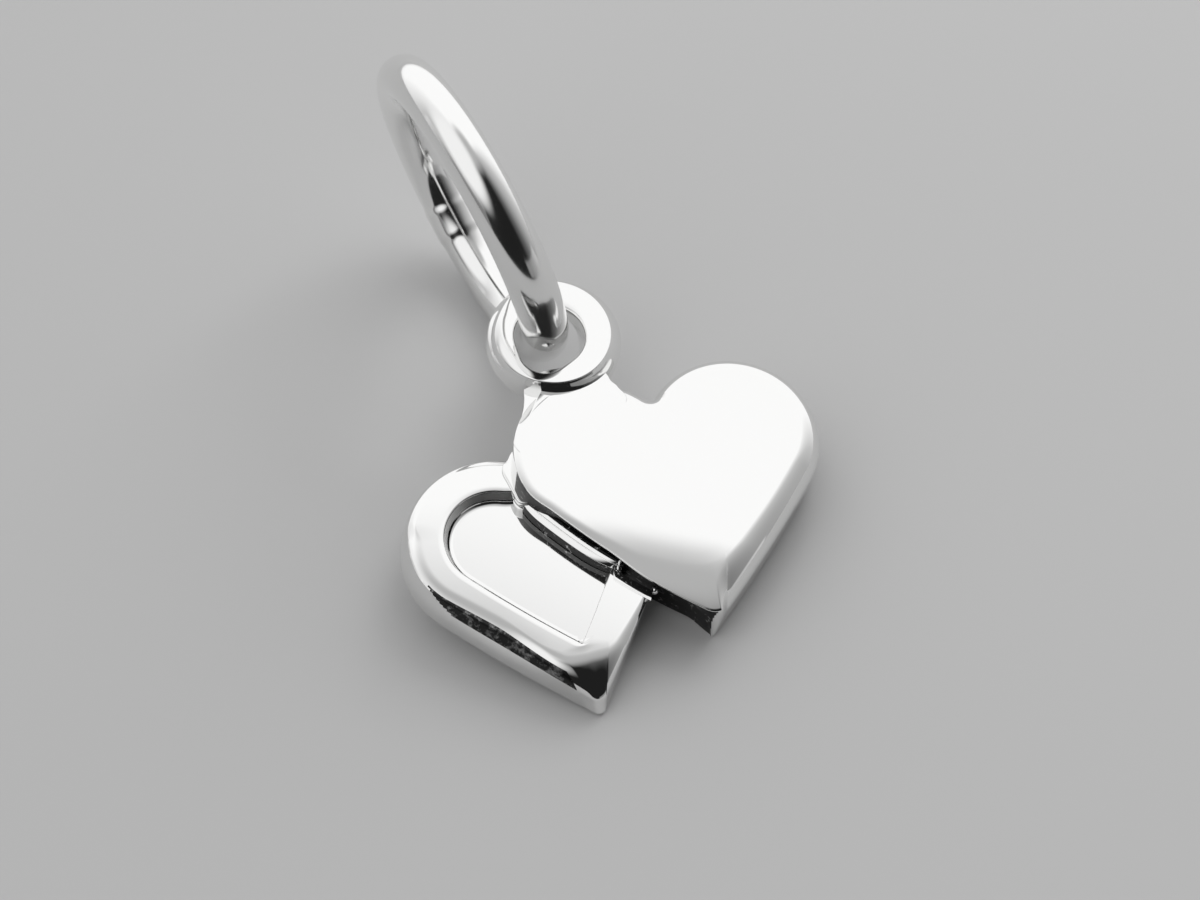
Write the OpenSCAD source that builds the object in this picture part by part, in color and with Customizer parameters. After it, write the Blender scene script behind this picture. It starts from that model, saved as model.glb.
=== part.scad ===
// Double heart pendant in polished silver, with its soldered jump ring, lying at rest.
// The hearts and the eyelet are one cast piece. It is drawn flat, back down, with +Y towards
// the eyelet, and then leans on its two tips and on the ring. Units are millimetres.

/* [Front heart] */
// Height of its polished face above the flat back
front_top = 1.63; // [1.3:0.01:2]
// Radius of the right lobe
right_lobe_r = 2.17; // [1.9:0.01:2.4]
// Distance of the right lobe's centre from the axis
right_lobe_x = 1.72; // [1.6:0.01:1.8]
// Height of the right lobe's centre along the axis
right_lobe_y = -0.05; // [-0.2:0.01:0.2]
// Radius of the right flank's long curve
right_flank_r = 33; // [12:1:60]
// Radius of the left lobe
left_lobe_r = 2.08; // [1.9:0.01:2.4]
// Distance of the left lobe's centre from the axis
left_lobe_x = 1.69; // [1.6:0.01:1.8]
// Radius of the left flank's long curve
left_flank_r = 16; // [12:1:60]
// Distance of the tip below the lobes
front_tip = 4.65; // [4.3:0.01:5]
// Rounding of the tip
front_tip_r = 0.1; // [0.05:0.01:0.25]

/* [Lower heart] */
// Height of its rim above the flat back
lower_top = 1.02; // [0.8:0.01:1.2]
// Radius of its lobes
lower_lobe_r = 2.28; // [2.1:0.01:2.5]
// Distance of its lobes' centres from its axis
lower_lobe_x = 1; // [0.9:0.01:1.1]
// Radius of its flanks' long curve
lower_flank_r = 32; // [15:1:60]
// Distance of its tip below its lobes
lower_tip = 4.73; // [4.4:0.01:5]
// Rounding of its tip
lower_tip_r = 0.18; // [0.1:0.01:0.3]
// Its place to the right of the front heart's axis
lower_x = -3.58; // [-3.8:0.01:-3.4]
// Its place along the front heart's axis
lower_y = -1.29; // [-1.5:0.01:-1.1]
// Its turn against the front heart, in degrees
lower_turn = 5.6; // [0:0.1:12]
// Width of the raised rim round its sunk panel
rim_w = 1.05; // [0.9:0.01:1.1]
// Height of the sunk panel above the flat back
panel_z = 0.66; // [0.3:0.01:0.8]
// How far the sunk panel's wall leans in
panel_draft = 0.12; // [0.02:0.01:0.15]

/* [Front heart's edges] */
// Width of the rounded shoulder along its right side
front_shoulder_w = 0.62; // [0.4:0.01:0.8]
// Height of that rounded shoulder
front_shoulder_h = 0.62; // [0.4:0.01:0.9]
// Width of the face's slight slope along its left side
crisp_w = 0.22; // [0.08:0.01:0.3]
// Width of the face's slope at its tip
tip_slope_w = 0.75; // [0.4:0.01:0.9]
// Fall of that slope, as a share of its width
slope_fall = 0.07; // [0.02:0.01:0.2]
// Height of the fine edge that the slope ends in
arris_h = 0.03; // [0.01:0.01:0.08]
// Rounding of the tip at that fine edge
arris_tip_r = 0.3; // [0.1:0.01:0.5]
// Rounding of the tip where the flat face begins
face_tip_r = 0.8; // [0.3:0.01:1]
// Bend of the face down towards the tip, per millimetre squared
front_bend = 0.06; // [0:0.01:0.15]

/* [Lower heart's edges] */
// Width of the rounded shoulder along its left flank
lower_shoulder_w = 0.45; // [0.3:0.01:0.8]
// Height of that rounded shoulder
lower_shoulder_h = 0.4; // [0.2:0.01:0.6]
// How far its left wall leans in
lower_lean = 0.1; // [0:0.01:0.2]
// Width of the edge along its right flank, beside the front heart
lower_crisp_w = 0.05; // [0.02:0.01:0.2]
// Rounding of the back's edge
lower_back_r = 0.18; // [0.05:0.01:0.25]
// Rounding of the tip at the rim
lower_face_tip_r = 0.8; // [0.3:0.01:1]
// Bend of the rim down towards the tip, per millimetre squared
lower_bend = 0.22; // [0:0.01:0.4]
// Rounding of the rim's inner edge
rim_edge_r = 0.06; // [0.02:0.01:0.1]

/* [Joins] */
// Rounding of the front heart's back edge
back_r = 0.14; // [0.05:0.01:0.2]
// Rounding of the notch between two lobes
cleft_r = 0.15; // [0.1:0.01:0.3]
// Height of the neck's face under the eyelet
neck_top = 1.615; // [1.4:0.005:1.625]
// Height of the web where the two hearts meet
web_top = 1.07; // [0.9:0.01:1.2]
// Height of the small ledge along the front heart inside the sunk panel
ledge_top = 1; // [0.8:0.01:1.2]
// How far that ledge stands out of the front heart's wall
ledge_w = 0.22; // [0.05:0.01:0.3]
// Width of the sloping strip on the rim beside the front heart
strip_w = 0.4; // [0.2:0.01:0.5]
// Height of that strip at the front heart's wall
strip_top = 1.14; // [1.04:0.01:1.2]

/* [Eyelet] */
// Radius over the outside of the eyelet
eyelet_r = 1.67; // [1.6:0.01:1.8]
// Eyelet's place to the right of the front heart's axis
eyelet_x = -1.93; // [-2.1:0.01:-1.9]
// Eyelet's place along the front heart's axis
eyelet_y = 3.43; // [3.3:0.01:3.5]
// Radius of its flat face
eyelet_face_r = 1.476; // [1.4:0.001:1.6]
// Flat face's place to the right of the front heart's axis
eyelet_face_x = -2.044; // [-2.1:0.001:-1.9]
// Flat face's place along the front heart's axis
eyelet_face_y = 3.38; // [3.3:0.01:3.5]
// Height of the eyelet's flat face above the back
eyelet_top = 1.93; // [1.8:0.01:2.1]
// Thickness of the eyelet
eyelet_t = 0.95; // [0.8:0.01:1.1]
// Height of the sloping part of its wall
eyelet_slope_h = 0.48; // [0.2:0.01:0.6]
// Rounding of the eyelet's back edge
eyelet_edge_r = 0.15; // [0.1:0.01:0.45]
// Radius of its hole, which slants through it
hole_r = 0.88; // [0.8:0.01:1.1]
// Hole's place to the right of the front heart's axis
hole_x = -2.12; // [-2.3:0.01:-2]
// Hole's place along the front heart's axis, at the face
hole_y = 3.28; // [3.1:0.01:3.45]
// How far the slanting hole moves up towards the back
hole_slant = 0.38; // [0.2:0.01:0.5]
// Chamfer of the hole at the face
hole_edge = 0.06; // [0.03:0.01:0.2]

/* [Jump ring] */
// Thickness of the ring's wire
wire_d = 1.18; // [1:0.01:1.2]
// Diameter across the middle of the wire
ring_d = 7.26; // [7.1:0.01:7.4]
// Ring centre's place to the right of the front heart's axis, before the shift
ring_x = -3.09; // [-3.3:0.01:-2.9]
// Ring centre's place along the surface, before the shift
ring_y = 6.42; // [6.2:0.01:6.6]
// Heading of the ring's axis, in degrees from +X
ring_heading = 13.6; // [12:0.1:15]
// Rise of the ring's axis above the level, in degrees
ring_rise = 9.5; // [8:0.1:11]
// Length of the soldered seam along the wire
seam_l = 0.6; // [0.3:0.05:0.8]
// How far the seam stands proud of the wire
seam_h = 0.035; // [0.01:0.005:0.06]
// Where the seam lies, in degrees round the ring from its lowest point
seam_at = 38; // [0:1:360]

/* [Lying] */
// Lean of the pendant on its tips and the ring, in degrees
lean = 7.9; // [6:0.1:9]
// Height that brings the leaning tips down to the surface
lift = 0.564; // [0.4:0.002:0.8]
// Shift along X that centres the whole outline
shift_x = 1.451; // [-3:0.001:3]
// Shift along Y that centres the whole outline
shift_y = -2.3215; // [-3:0.0005:3]

/* [Hidden] */
silver = [0.86, 0.86, 0.85];
ring_silver = [0.8, 0.8, 0.8];
cleft_steps = 4;
lobe_steps = 22;
flank_steps = 12;
tip_steps = 5;
half_points = cleft_steps + lobe_steps + flank_steps + tip_steps + 1;
all_points = 2 * half_points - 2;
tip_i = half_points - 1;
shoulder_steps = 8;
face_rings = 4;
// Thickness of the slices that a hull is stretched between
thin = 0.01;
ledge_r = 0.1;
strip_r = 0.08;
join_r = 0.14;
// Steps along the left flank, counted from the tip, that the strip and the ledge start and end at
strip_first = 4;
strip_last = 7;
ledge_first = 7;
ledge_last = 14;
// Share of the right flank, up from the tip, and of the tip's arc over which the edge turns crisp
turn_flank = 0.2;
turn_tip = 0.5;
// Share of the left lobe, from the notch, over which it does, and how late it starts
turn_lobe = 0.4;
turn_lobe_from = 0.25;
// The tip's slope: its reach up the flanks, how long it holds, and how much less it falls
tip_reach = 0.95;
tip_hold = 1.15;
tip_ease = 0.6;
// The lower heart's crisp edge: its share of the flank and of the lobe
lower_turn_flank = 0.4;
lower_turn_lobe = [0.2, 0.5];
// The hole's narrower end at the face: how far down and left it lies, and how much smaller it is
hole_low = 0.4;
hole_left = 0.24;
hole_narrow = 0.26;
// How far the neck reaches below the eyelet's back
neck_below = 0.26;
// Where each face's fan of triangles meets, a point well inside the outline
front_centre = [0, -0.6];
lower_centre = [0, -0.9];
// Where the front heart's face starts to bend down, and which way it does
front_bend_from = [0.3, -2.55];
front_bend_way = [-0.3, -0.954];
// The same for the lower heart, in its own frame
lower_bend_from = [-0.02, -3.35];
lower_bend_way = [-0.1, -0.995];
cleft_y = right_lobe_y + sqrt(pow(right_lobe_r + cleft_r, 2) - pow(right_lobe_x, 2));
left_lobe_y = cleft_y - sqrt(pow(left_lobe_r + cleft_r, 2) - pow(left_lobe_x, 2));
right_half = [right_lobe_r, right_lobe_x, right_lobe_y, right_flank_r];
left_half = [left_lobe_r, left_lobe_x, left_lobe_y, left_flank_r];
lower_half = [lower_lobe_r, lower_lobe_x, 0, lower_flank_r];
lower_cleft_y = sqrt(pow(lower_lobe_r + cleft_r, 2) - pow(lower_lobe_x, 2));
wire_r = wire_d / 2;
ring_r = ring_d / 2;
eyelet_bottom = eyelet_top - eyelet_t;

// A point at a radius and an angle from a centre
function polar(c, r, a) = c + r * [cos(a), sin(a)];

// Points of an arc about a centre, with both its ends
function arc(c, r, from, to, steps) = [for (i = [0:steps]) polar(c, r, from + (to - from) * i / steps)];

// All of a list but its first item
function rest(list) = [for (i = [1:len(list) - 1]) list[i]];

// The list from its last item to its first
function backwards(list) = [for (i = [len(list) - 1:-1:0]) list[i]];

// Centre of a flank's long curve: it touches the lobe and runs through the tip
function flank_centre(half, tip) =
    let (
        lobe = [half[1], half[2]],
        down = [0, -tip] - lobe,
        far = norm(down),
        gap = half[3] - half[0],
        along = (far * far + gap * gap - half[3] * half[3]) / (2 * far),
        across = sqrt(gap * gap - along * along),
        u = down / far
    )
    lobe + along * u - across * [-u[1], u[0]];

// The point part of the way from one point to another
function mix(a, b, u) = a + (b - a) * u;

// Height of the small tip circle that touches a flank, at an inset
function tip_height(half, tip, inset, r) =
    let (c = flank_centre(half, tip))
    c[1] - sqrt(pow(half[3] - inset - r, 2) - pow(c[0], 2));

// Right half of a heart at an inset, from the notch round the lobe and down to the tip
function half_outline(half, tip, tip_y, notch_y, inset, r) =
    let (
        lobe = [half[1], half[2]],
        notch = [0, notch_y],
        c = flank_centre(half, tip),
        to_lobe = atan2(lobe[1] - notch[1], lobe[0] - notch[0]),
        off_flank = atan2(lobe[1] - c[1], lobe[0] - c[0]),
        to_tip = atan2(tip_y - c[1], -c[0])
    )
    concat(
        arc(notch, cleft_r + inset, -90, to_lobe, cleft_steps),
        rest(arc(lobe, half[0] - inset, to_lobe + 180, off_flank, lobe_steps)),
        rest(arc(c, half[3] - inset, off_flank, to_tip, flank_steps)),
        rest(arc([0, tip_y], r, to_tip, -90, tip_steps))
    );

// Whole outline at an inset, clockwise from the notch
function heart_outline(right, left, tip, notch_y, inset, r) =
    let (
        tip_y = (tip_height(right, tip, inset, r) + tip_height(left, tip, inset, r)) / 2,
        a = half_outline(right, tip, tip_y, notch_y, inset, r),
        b = half_outline(left, tip, tip_y, notch_y, inset, r),
        mirrored = [for (p = backwards(b)) [-p[0], p[1]]]
    )
    concat(a, [for (i = [1:len(mirrored) - 2]) mirrored[i]]);

// An outline at a height
function level(outline, z) = [for (p = outline) [p[0], p[1], z]];

// The front heart's outline at an inset
function front_outline(inset, r) = heart_outline(right_half, left_half, front_tip, cleft_y, inset, r);

// The lower heart's outline at an inset
function lower_outline(inset, r) =
    heart_outline(lower_half, lower_half, lower_tip, lower_cleft_y, inset, r);

// Smooth step from 0 to 1
function ease(u) = let (v = max(0, min(1, u))) v * v * (3 - 2 * v);

// How crisp the front heart's edge is round its outline, from 0 for soft to 1
function front_crisp(i) =
    let (from = tip_i - tip_steps - turn_flank * flank_steps, to = tip_i - turn_tip * tip_steps)
    ease((i - from) / (to - from)) * ease((all_points - 2 - i) / (turn_lobe * lobe_steps) - turn_lobe_from);

// How near a point of the outline is to the tip, from 0 to 1
function near_tip(i) = ease(tip_hold - abs(i - tip_i) / (tip_reach * flank_steps));

// How crisp the lower heart's edge is along its right flank
function lower_crisp(i) =
    let (
        from = tip_i - tip_steps - lower_turn_flank * flank_steps,
        first = lower_turn_lobe[0] * lobe_steps,
        last = lower_turn_lobe[1] * lobe_steps
    )
    (1 - ease((i - from) / (tip_i - from))) * (1 - ease((last - i) / (last - first)));

// A ring of points bent down towards the tip
function bent(ring, top, from, way, amount) = [
    for (p = ring)
        let (away = max(0, (p[0] - from[0]) * way[0] + (p[1] - from[1]) * way[1]))
        [p[0], p[1], p[2] * (1 - amount * away * away / top)]
];

// Inset and height round a plate's back edge
function back_edge(r) = [for (a = [-90:30:0]) [r * (1 - cos(a)), r * (1 + sin(a))]];

// Ring of the front heart's shoulder, part of the way from its wall to the face
function front_shoulder(share) =
    let (
        lean = 1 - cos(90 * share),
        r = arris_tip_r + (face_tip_r - arris_tip_r) * lean,
        soft = front_outline(front_shoulder_w * lean, r),
        crisp = front_outline(crisp_w * lean, r),
        tip = front_outline(tip_slope_w * lean, r),
        soft_z = front_top - front_shoulder_h * (1 - sin(90 * share)),
        arris = share == 0 ? arris_h : 0
    )
    [
        for (i = [0:all_points - 1])
            let (
                p = mix(mix(soft[i], crisp[i], front_crisp(i)), tip[i], near_tip(i)),
                w = crisp_w + (tip_slope_w - crisp_w) * near_tip(i),
                fall = slope_fall * w * (1 - tip_ease * near_tip(i)) * pow(1 - lean, 2)
            )
            [p[0], p[1], mix(soft_z, front_top - fall - arris, front_crisp(i))]
    ];

// Ring of the lower heart's shoulder, part of the way from its wall to the rim
function lower_shoulder(share) =
    let (
        lean = 1 - cos(90 * share),
        r = lower_tip_r + (lower_face_tip_r - lower_tip_r) * lean,
        soft = lower_outline(lower_lean + lower_shoulder_w * lean, r),
        crisp = lower_outline(lower_crisp_w * lean, r),
        soft_z = lower_top - lower_shoulder_h * (1 - sin(90 * share)),
        crisp_z = lower_top - lower_crisp_w * (1 - sin(90 * share))
    )
    [
        for (i = [0:all_points - 1])
            let (p = mix(soft[i], crisp[i], lower_crisp(i)))
            [p[0], p[1], mix(soft_z, crisp_z, lower_crisp(i))]
    ];

// A ring drawn in towards a centre
function drawn_in(ring, centre, share) =
    [for (p = ring) [mix(p[0], centre[0], share), mix(p[1], centre[1], share), p[2]]];

// Solid between stacked rings of points, closed at both ends by a fan of triangles
module loft(rings, centre) {
    n = len(rings[0]);
    m = len(rings);
    low_z = rings[0][0][2];
    high_z = rings[m - 1][0][2];
    points = concat(
        [for (ring = rings) for (p = ring) p],
        [[centre[0], centre[1], low_z], [centre[0], centre[1], high_z]]
    );
    faces = concat(
        [
            for (j = [0:m - 2]) for (i = [0:n - 1])
                [j * n + i, j * n + (i + 1) % n, (j + 1) * n + i]
        ],
        [
            for (j = [0:m - 2]) for (i = [0:n - 1])
                [j * n + (i + 1) % n, (j + 1) * n + (i + 1) % n, (j + 1) * n + i]
        ],
        [for (i = [0:n - 1]) [(i + 1) % n, i, m * n]],
        [for (i = [0:n - 1]) [(m - 1) * n + i, (m - 1) * n + (i + 1) % n, m * n + 1]]
    );
    polyhedron(points = points, faces = faces, convexity = 6);
}

// Plate with a plain polished face, soft on its right and bent down towards its tip
module front_plate() {
    foot = [for (p = back_edge(back_r)) level(front_outline(p[0], front_tip_r), p[1])];
    sides = [for (k = [0:shoulder_steps]) front_shoulder(k / shoulder_steps)];
    edge = sides[shoulder_steps];
    face = [for (k = [1:face_rings]) drawn_in(edge, front_centre, k / (face_rings + 1))];
    flat = concat(foot, sides, face);
    loft([for (r = flat) bent(r, front_top, front_bend_from, front_bend_way, front_bend)], front_centre);
}

// Plate with a raised rim, bent down towards its tip, and a sunk panel
module lower_plate() {
    foot = [for (p = back_edge(lower_back_r)) level(lower_outline(p[0], lower_tip_r), p[1])];
    sides = [for (k = [0:shoulder_steps]) lower_shoulder(k / shoulder_steps)];
    inner = [
        [rim_w - rim_edge_r, lower_top],
        [rim_w, lower_top - rim_edge_r],
        [rim_w + panel_draft, panel_z]
    ];
    sunk = [for (p = inner) level(lower_outline(p[0], rim_edge_r), p[1])];
    flat = concat(foot, sides, sunk);
    rings = [for (r = flat) bent(r, lower_top, lower_bend_from, lower_bend_way, lower_bend)];
    translate([lower_x, lower_y, 0])
        rotate([0, 0, lower_turn])
            loft(rings, lower_centre);
}

// Disc under a flat face, with a wall that slopes in on its right
module eyelet_disc() {
    slope_from = eyelet_top - eyelet_slope_h;
    hull() {
        translate([eyelet_x, eyelet_y, eyelet_bottom])
            cylinder(h = thin, r = eyelet_r - eyelet_edge_r, $fn = 72);
        translate([eyelet_x, eyelet_y, eyelet_bottom + eyelet_edge_r])
            cylinder(h = slope_from - eyelet_bottom - eyelet_edge_r, r = eyelet_r, $fn = 72);
        translate([eyelet_face_x, eyelet_face_y, eyelet_top - thin])
            cylinder(h = thin, r = eyelet_face_r, $fn = 72);
    }
}

// Outline of the hole at a height, from the hole's place to a smaller round towards the heart
module hole_slice(z, up, grow) {
    translate([hole_x, hole_y + up, z])
        cylinder(h = thin, r = hole_r + grow, $fn = 56);
    share = 1 - up / hole_slant;
    translate([hole_x - hole_left * share, hole_y + up - hole_low * share, z])
        cylinder(h = thin, r = hole_r + grow - hole_narrow * share, $fn = 56);
}

// What the slanting hole takes out, with a chamfer at the face
module hole_cutter() {
    hull() {
        hole_slice(eyelet_bottom - 2 * thin, hole_slant, 0);
        hole_slice(eyelet_top + thin, 0, 0);
    }
    hull() {
        hole_slice(eyelet_top - hole_edge, 0, 0);
        hole_slice(eyelet_top + thin, 0, hole_edge);
    }
}

// Upright rod with round ends, for the soft joins
module peg(at, r, low, high) {
    translate([at[0], at[1], low + r]) sphere(r, $fn = 20);
    translate([at[0], at[1], high - r]) sphere(r, $fn = 20);
}

// A row of pegs, each one joined to the next
module peg_row(spots, r, low, high) {
    for (i = [0:len(spots) - 2])
        hull() {
            peg(spots[i], r, low, high);
            peg(spots[i + 1], r, low, high);
        }
}

// Flat join with rounded corners
module join_plate(corners, low, high) {
    translate([0, 0, low])
        linear_extrude(high - low)
            offset(r = join_r, $fn = 32)
                offset(delta = -join_r)
                    polygon(corners);
}

// The neck, where the front heart's face runs on under the eyelet
module neck() {
    join_plate([
        [-2.6, 2.6], [-1.2, 2.6], [-0.95, 2.06], [-0.8, 1.72], [-0.66, 1.1], [-2.8, 0.1],
        [-3.6, 0.3], [-3.7, 0.6], [-3.4, 1.16], [-3.1, 1.82], [-2.95, 2.35]
    ], eyelet_bottom - neck_below, neck_top);
}

// Web in the notch where the two hearts meet
module web() {
    join_plate([
        [-3.1, 0.85], [-2.9, 0.1], [-3, -0.5], [-3.5, -0.8], [-3.84, -0.6], [-3.94, -0.3],
        [-4.05, 0.24], [-3.99, 0.48], [-3.8, 0.6], [-3.64, 0.82], [-3.4, 0.98]
    ], back_r, web_top);
}

// Points along the front heart's left flank, a little out of its wall
function along_flank(first, last, out) =
    let (line = front_outline(-out, front_tip_r))
    [for (i = [first:last]) line[tip_i + tip_steps + i]];

// Small ledge along the front heart's left flank, inside the sunk panel
module ledge() {
    peg_row(along_flank(ledge_first, ledge_last, ledge_w - ledge_r), ledge_r, panel_z - ledge_r, ledge_top);
}

// Sloping strip on the rim beside the front heart
module strip() {
    inner = along_flank(strip_first, strip_last, -strip_r);
    outer = along_flank(strip_first, strip_last, strip_w - strip_r);
    for (i = [0:len(inner) - 2])
        hull() {
            peg(inner[i], strip_r, panel_z, strip_top);
            peg(inner[i + 1], strip_r, panel_z, strip_top);
            peg(outer[i], strip_r, panel_z, lower_top + thin);
            peg(outer[i + 1], strip_r, panel_z, lower_top + thin);
        }
}

// The cast piece as it is drawn, flat on its back
module cast_flat() {
    difference() {
        union() {
            front_plate();
            lower_plate();
            eyelet_disc();
            neck();
            web();
            ledge();
            strip();
        }
        hole_cutter();
    }
}

// Leans its children on the two hearts' tips
module lay_down() {
    lower_tip_at = polar([lower_x, lower_y], lower_tip, lower_turn - 90);
    tips = [0, -front_tip] - lower_tip_at;
    translate([shift_x, shift_y, lift])
        rotate(a = lean, v = [tips[0], tips[1], 0])
            children();
}

module double_heart() {
    color(silver)
        lay_down()
            cast_flat();
}

module jump_ring() {
    seam_angle = seam_l / ring_r * 180 / PI;
    color(ring_silver)
        translate([shift_x + ring_x, shift_y + ring_y, ring_r * cos(ring_rise) + wire_r])
            rotate([0, 90 - ring_rise, ring_heading])
                union() {
                    rotate_extrude($fn = 96)
                        translate([ring_r, 0])
                            circle(wire_r, $fn = 32);
                    rotate([0, 0, seam_at - seam_angle / 2])
                        rotate_extrude(angle = seam_angle, $fn = 96)
                            translate([ring_r, 0])
                                circle(wire_r + seam_h, $fn = 32);
                }
}

double_heart();
jump_ring();
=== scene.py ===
import math

import bmesh
import bpy
import numpy as np
from mathutils import Matrix, Vector


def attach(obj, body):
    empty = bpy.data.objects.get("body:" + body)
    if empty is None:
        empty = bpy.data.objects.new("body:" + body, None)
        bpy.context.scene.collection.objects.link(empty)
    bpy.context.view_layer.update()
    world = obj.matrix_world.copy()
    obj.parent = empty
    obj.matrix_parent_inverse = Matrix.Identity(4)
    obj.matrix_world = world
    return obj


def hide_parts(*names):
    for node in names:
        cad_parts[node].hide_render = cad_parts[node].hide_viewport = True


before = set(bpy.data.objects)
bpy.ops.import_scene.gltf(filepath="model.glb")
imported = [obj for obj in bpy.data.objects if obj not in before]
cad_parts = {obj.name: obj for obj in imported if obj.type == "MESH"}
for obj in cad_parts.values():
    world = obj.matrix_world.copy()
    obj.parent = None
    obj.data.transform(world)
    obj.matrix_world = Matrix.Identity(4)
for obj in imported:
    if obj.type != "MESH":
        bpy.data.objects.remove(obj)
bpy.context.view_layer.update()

scene = bpy.context.scene
mm = 0.001

# Half a heart's outline is four arcs, from the cleft to the tip, with this many points on each
steps = {"cleft": 8, "lobe": 96, "flank": 60, "tip": 20}
cleftRadius = 0.15
halfCount = steps["cleft"] + 1 + steps["lobe"] + steps["flank"] + steps["tip"]
aroundCount = 2 * halfCount - 2
tipIndex = halfCount - 1
order = np.arange(aroundCount)
past = order - tipIndex  # points past the tip, up the left flank; the right half is negative


def smooth(x):
    x = np.clip(x, 0.0, 1.0)
    return x * x * (3 - 2 * x)


def mix(a, b, share):
    return a + (b - a) * share


# Along the outline, in points past the tip: easing in after a point, out before a point, and round the tip
def easeIn(start, over):
    return smooth((past - start) / over)


def easeOut(end, over):
    return smooth((end - past) / over)


def aroundTip(full, reach):
    return smooth(full - np.abs(past) / reach)


# A rounded lower edge, as shares of its radius: how far in and how far up
def roundUp(count):
    return [(1 - math.cos(a), 1 + math.sin(a)) for a in np.linspace(-math.pi / 2, 0, count)]


# A quarter of a circle, as shares of its radius: what has gone grows to 1 while what is left falls to 0
def quarter(count):
    return [(1 - math.cos(a), 1 - math.sin(a)) for a in np.linspace(0, math.pi / 2, count)]


def polar(centre, radius, angle):
    return np.stack([centre[0] + radius * np.cos(angle), centre[1] + radius * np.sin(angle)], -1)


def atHeight(outline, z):
    return np.column_stack([outline, np.broadcast_to(z, (len(outline),))])


def newObject(name, points, faces):
    mesh = bpy.data.meshes.new(name)
    mesh.from_pydata([tuple(p) for p in points], [], faces)
    mesh.update()
    thing = bpy.data.objects.new(name, mesh)
    scene.collection.objects.link(thing)
    return thing


def ringFaces(rows, count, closedRows=False):
    faces = []
    for j in range(rows if closedRows else rows - 1):
        k = (j + 1) % rows
        for i in range(count):
            n = (i + 1) % count
            faces.append((j * count + i, j * count + n, k * count + n, k * count + i))
    return faces


def loft(name, rings, centre):
    rows, count = len(rings), len(rings[0])
    caps = [[*centre, rings[0][:, 2].max()], [*centre, rings[-1][:, 2].max()]]
    faces = ringFaces(rows, count)
    low, high, last = rows * count, rows * count + 1, (rows - 1) * count
    for i in range(count):
        n = (i + 1) % count
        faces.append((n, i, low))
        faces.append((last + i, last + n, high))
    return newObject(name, np.vstack([*rings, caps]), faces)


def flankCentre(half, tip):
    lobe = np.array([half["x"], half["y"]])
    down = np.array([0.0, -tip]) - lobe
    far = np.linalg.norm(down)
    gap = half["flank"] - half["lobe"]
    along = (far * far + gap * gap - half["flank"] ** 2) / (2 * far)
    across = math.sqrt(gap * gap - along * along)
    u = down / far
    return lobe + along * u - across * np.array([-u[1], u[0]])


def tipHeight(half, tip, inset, tipRadius):
    centre = flankCentre(half, tip)
    return centre[1] - np.sqrt((half["flank"] - inset - tipRadius) ** 2 - centre[0] ** 2)


def shares(count):
    return np.linspace(0, 1, count + 1)[1:]


def halfOutline(heart, half, other, inset, tipRadius):
    lobe, centre = (half["x"], half["y"]), flankCentre(half, heart["tip"])
    toLobe = math.atan2(half["y"] - heart["notch"], half["x"])
    offFlank = math.atan2(half["y"] - centre[1], half["x"] - centre[0])
    heights = [tipHeight(side, heart["tip"], inset, tipRadius) for side in (half, other)]
    tipY = (heights[0] + heights[1]) / 2
    toTip = np.arctan2(tipY - centre[1], -centre[0])
    ends = np.cumsum([steps["cleft"] + 1, steps["lobe"], steps["flank"]])
    cleftIn, lobeIn, flankIn = np.split(inset, ends)[:3]
    flankTo, tipFrom = np.split(toTip, ends)[2:]
    return np.vstack([
        polar((0, heart["notch"]), cleftRadius + cleftIn, np.linspace(-math.pi / 2, toLobe, len(cleftIn))),
        polar(lobe, half["lobe"] - lobeIn, np.linspace(toLobe + math.pi, offFlank, len(lobeIn) + 1)[1:]),
        polar(centre, half["flank"] - flankIn, mix(offFlank, flankTo, shares(len(flankIn)))),
        polar((0, tipY[ends[2]:]), tipRadius, mix(tipFrom, -math.pi / 2, shares(len(tipFrom)))),
    ])


def heartOutline(heart, inset, tipRadius):
    inset = np.broadcast_to(inset, (aroundCount,))
    turned = np.concatenate([[inset[0]], inset[halfCount:][::-1], [inset[tipIndex]]])
    right = halfOutline(heart, heart["right"], heart["left"], inset[:halfCount], tipRadius)
    left = halfOutline(heart, heart["left"], heart["right"], turned, tipRadius)
    return np.vstack([right, left[::-1][1:-1] * [-1, 1]])


def lobeToNotch(half):
    return math.sqrt((half["lobe"] + cleftRadius) ** 2 - half["x"] ** 2)


def bendDown(points, heart):
    bend = heart["bend"]
    away = np.maximum((points[:, :2] - bend["from"]) @ np.array(bend["towards"]), 0)
    points[:, 2] *= 1 - bend["amount"] * away ** 2 / heart["top"]
    return points


# Front heart: soft shoulder on its right, crisp arris on its left, a face that bends down towards the tip.
# Both hearts are drawn flat on their back, in millimetres, and laid down once they are joined.
front = {
    "right": {"lobe": 2.17, "x": 1.72, "y": -0.05, "flank": 33.0},
    "left": {"lobe": 2.08, "x": 1.69, "flank": 16.0},
    "tip": 4.65, "top": 1.63, "centre": (0.0, -0.6), "backRadius": 0.14,
    "footRadius": 0.1, "arrisRadius": 0.4, "faceRadius": 0.8,
    "softWidth": 0.62, "crispWidth": 0.22, "tipWidth": 0.75, "shoulder": 0.62,
    "fall": 0.07, "levelTip": 0.6, "arris": 0.03, "arrisShare": 0.2, "margin": 0.05,
    "bend": {"from": (0.3, -2.72), "towards": (-0.38, -0.925), "amount": 0.07},
    "roundRows": 6, "shoulderRows": 26, "faceRows": 12, "setBack": 0.22, "lipIn": 0.09,
    # Up the wall: at which share of its height, and how much of the set-back is there
    "wall": [(0.3, 0.93), (0.6, 0.82), (0.75, 0.68), (0.86, 0.42), (0.94, 0.15)],
    # Rows and reach of the dark cast skin on the left wall: painted shade under the lip
    "skinAndShade": {"rows": (5, 11), "start": (17, -3), "end": (98, 0)},
}
# Both lobes meet the same cleft
front["notch"] = front["right"]["y"] + lobeToNotch(front["right"])
front["left"]["y"] = front["notch"] - lobeToNotch(front["left"])
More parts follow.
